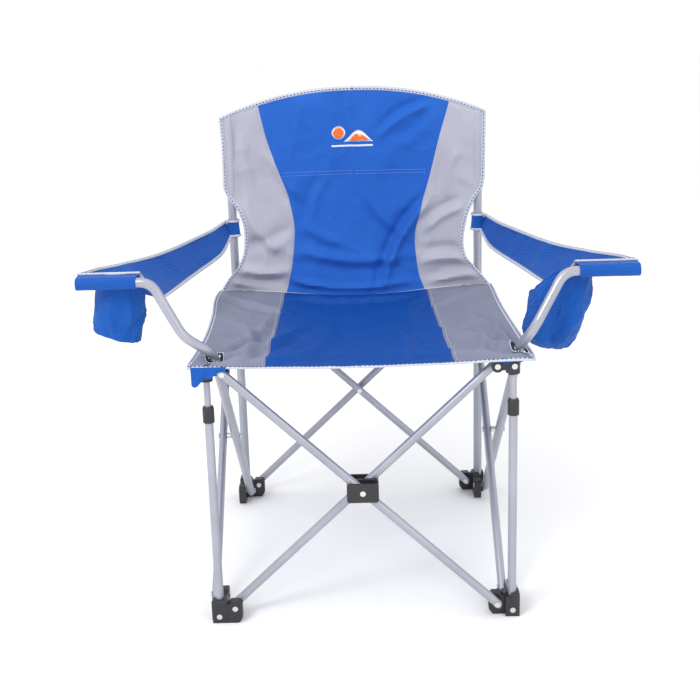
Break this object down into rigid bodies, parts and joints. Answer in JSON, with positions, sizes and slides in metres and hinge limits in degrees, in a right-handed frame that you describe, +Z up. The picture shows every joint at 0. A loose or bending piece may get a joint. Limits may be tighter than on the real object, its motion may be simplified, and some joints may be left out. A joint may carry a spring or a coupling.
{
  "type": "folding camp chair",
  "caption": "Folding camp chair with scissor-braced steel tube frame, sewn cloth seat and back, cloth armrests, hanging cup holder and side pouch.",
  "frame": {"origin": "on the floor, under the middle of the chair", "axes": "+Z up, -Y is the front that the sitter faces, +X to the right seen from the front"},
  "size_m": [0.988, 0.631, 0.948],
  "materials": {
    "frame_paint": "satin powder coat",
    "black_plastic": "matte moulded",
    "rivet_steel": "zinc plated",
    "grey_cloth": "woven polyester",
    "blue_cloth": "woven polyester",
    "pale_binding": "woven tape"
  },
  "bodies": {
    "rear_left": {"rear_foot_left": "black_plastic", "rear_foot_rivets_left": "rivet_steel", "back_post_left": "frame_paint", "back_side_left": "grey_cloth", "back_centre_left": "blue_cloth"},
    "rear_cross_outer": {"rear_cross_outer": "frame_paint", "rear_cross_rivet": "rivet_steel"},
    "rear_cross_inner": {"rear_cross_inner": "frame_paint"},
    "slider_left": {"slider_left": "black_plastic", "slider_rivets_left": "rivet_steel"},
    "slider_right": {"slider_right": "black_plastic", "slider_rivets_right": "rivet_steel"},
    "rear_right": {"rear_foot_right": "black_plastic", "rear_foot_rivets_right": "rivet_steel", "back_post_right": "frame_paint", "back_side_right": "grey_cloth", "back_centre_right": "blue_cloth"},
    "seat_left": {"seat_side_left": "grey_cloth", "seat_centre_left": "blue_cloth"},
    "seat_right": {"seat_side_right": "grey_cloth", "seat_centre_right": "blue_cloth"},
    "arm_left": {"arm_tube_left": "frame_paint", "arm_plug_left": "black_plastic", "side_bolt_left": "rivet_steel", "armrest_left": "blue_cloth", "cup_holder": "blue_cloth"},
    "arm_right": {"arm_tube_right": "frame_paint", "arm_plug_right": "black_plastic", "side_bolt_right": "rivet_steel", "armrest_right": "blue_cloth", "side_pouch": "blue_cloth"},
    "side_cross_left": {"side_cross_left": "frame_paint"},
    "side_cross_right": {"side_cross_right": "frame_paint"},
    "front_leg_left": {"front_foot_left": "black_plastic", "front_foot_rivets_left": "rivet_steel", "front_leg_left": "frame_paint", "leg_collar_left": "black_plastic"},
    "front_leg_right": {"front_foot_right": "black_plastic", "front_foot_rivets_right": "rivet_steel", "front_leg_right": "frame_paint", "leg_collar_right": "black_plastic"},
    "front_top_left": {"leg_rod_left": "frame_paint", "front_bracket_left": "black_plastic", "front_bracket_rivets_left": "rivet_steel", "seat_corner_left": "blue_cloth"},
    "front_top_right": {"leg_rod_right": "frame_paint", "front_bracket_right": "black_plastic", "front_bracket_rivets_right": "rivet_steel", "seat_corner_right": "blue_cloth"},
    "front_cross_inner": {"front_cross_inner": "frame_paint", "front_hub_rivet": "rivet_steel"},
    "front_cross_outer": {"front_cross_outer": "frame_paint"},
    "front_hub": {"front_hub": "black_plastic"}
  },
  "joints": [
    {"name": "fold", "type": "hinge", "parent": "rear_left", "child": "rear_cross_outer", "pos_m": [-0.244, 0.3013, 0.029], "axis": [0, -1, 0], "range_deg": [0, 41.5], "deforming": ["back_side_left", "back_centre_left", "back_side_right", "back_centre_right"]},
    {"name": "rear_scissor", "type": "hinge", "parent": "rear_cross_outer", "child": "rear_cross_inner", "pos_m": [0, 0.289, 0.259], "axis": [0, -1, 0], "range_deg": [-83, 0]},
    {"name": "slider_left_pivot", "type": "hinge", "parent": "rear_cross_inner", "child": "slider_left", "pos_m": [-0.244, 0.2767, 0.489], "axis": [0, -1, 0], "range_deg": [0, 41.5]},
    {"name": "rear_right_pivot", "type": "hinge", "parent": "rear_cross_inner", "child": "rear_right", "pos_m": [0.244, 0.2767, 0.029], "axis": [0, -1, 0], "range_deg": [0, 41.5]},
    {"name": "slider_right_pivot", "type": "hinge", "parent": "rear_cross_outer", "child": "slider_right", "pos_m": [0.244, 0.3013, 0.489], "axis": [0, -1, 0], "range_deg": [-41.5, 0]},
    {"name": "seat_left_fold", "type": "hinge", "parent": "slider_left", "child": "seat_left", "pos_m": [-0.244, 0, 0.505], "axis": [0, 1, 0], "range_deg": [0, 83], "deforming": ["seat_side_left", "seat_centre_left"]},
    {"name": "seat_right_fold", "type": "hinge", "parent": "slider_right", "child": "seat_right", "pos_m": [0.244, 0, 0.505], "axis": [0, -1, 0], "range_deg": [0, 83], "deforming": ["seat_side_right", "seat_centre_right"]},
    {"name": "arm_left_pivot", "type": "hinge", "parent": "rear_left", "child": "arm_left", "pos_m": [-0.2607, 0.244, 0.029], "axis": [-1, 0, 0], "range_deg": [0, 41.5], "deforming": ["armrest_left"]},
    {"name": "side_scissor_left", "type": "hinge", "parent": "arm_left", "child": "side_cross_left", "pos_m": [-0.274, 0, 0.259], "axis": [-1, 0, 0], "range_deg": [-83, 0]},
    {"name": "front_top_left_pivot", "type": "hinge", "parent": "arm_left", "child": "front_top_left", "pos_m": [-0.2607, -0.244, 0.489], "axis": [-1, 0, 0], "range_deg": [-41.5, 0]},
    {"name": "front_leg_left_pivot", "type": "hinge", "parent": "side_cross_left", "child": "front_leg_left", "pos_m": [-0.2863, -0.244, 0.029], "axis": [-1, 0, 0], "range_deg": [0, 41.5]},
    {"name": "front_cross_pivot", "type": "hinge", "parent": "front_leg_left", "child": "front_cross_inner", "pos_m": [-0.244, -0.2767, 0.029], "axis": [0, -1, 0], "range_deg": [0, 41.5]},
    {"name": "front_scissor", "type": "hinge", "parent": "front_cross_inner", "child": "front_cross_outer", "pos_m": [0, -0.289, 0.259], "axis": [0, -1, 0], "range_deg": [-83, 0]},
    {"name": "front_hub_pivot", "type": "hinge", "parent": "front_cross_inner", "child": "front_hub", "pos_m": [0, -0.289, 0.259], "axis": [0, -1, 0], "range_deg": [-41.5, 0]},
    {"name": "front_top_right_pivot", "type": "hinge", "parent": "front_cross_inner", "child": "front_top_right", "pos_m": [0.244, -0.2767, 0.489], "axis": [0, -1, 0], "range_deg": [-41.5, 0]},
    {"name": "front_leg_right_pivot", "type": "hinge", "parent": "front_cross_outer", "child": "front_leg_right", "pos_m": [0.244, -0.3013, 0.029], "axis": [0, -1, 0], "range_deg": [0, 41.5]},
    {"name": "arm_right_pivot", "type": "hinge", "parent": "rear_right", "child": "arm_right", "pos_m": [0.2873, 0.244, 0.029], "axis": [-1, 0, 0], "range_deg": [0, 41.5], "deforming": ["armrest_right"]},
    {"name": "side_scissor_right", "type": "hinge", "parent": "arm_right", "child": "side_cross_right", "pos_m": [0.274, 0, 0.259], "axis": [-1, 0, 0], "range_deg": [-83, 0]}
  ],
  "couplings": [
    {"joint": "rear_scissor", "follows": "fold", "ratio": -2},
    {"joint": "slider_left_pivot", "follows": "fold", "ratio": 1},
    {"joint": "rear_right_pivot", "follows": "fold", "ratio": 1},
    {"joint": "slider_right_pivot", "follows": "fold", "ratio": -1},
    {"joint": "seat_left_fold", "follows": "fold", "ratio": 2},
    {"joint": "seat_right_fold", "follows": "fold", "ratio": 2},
    {"joint": "arm_left_pivot", "follows": "fold", "ratio": 1},
    {"joint": "side_scissor_left", "follows": "fold", "ratio": -2},
    {"joint": "front_top_left_pivot", "follows": "fold", "ratio": -1},
    {"joint": "front_leg_left_pivot", "follows": "fold", "ratio": 1},
    {"joint": "front_cross_pivot", "follows": "fold", "ratio": 1},
    {"joint": "front_scissor", "follows": "fold", "ratio": -2},
    {"joint": "front_hub_pivot", "follows": "fold", "ratio": -1},
    {"joint": "front_top_right_pivot", "follows": "fold", "ratio": -1},
    {"joint": "front_leg_right_pivot", "follows": "fold", "ratio": 1},
    {"joint": "arm_right_pivot", "follows": "fold", "ratio": 1},
    {"joint": "side_scissor_right", "follows": "fold", "ratio": -2}
  ]
}
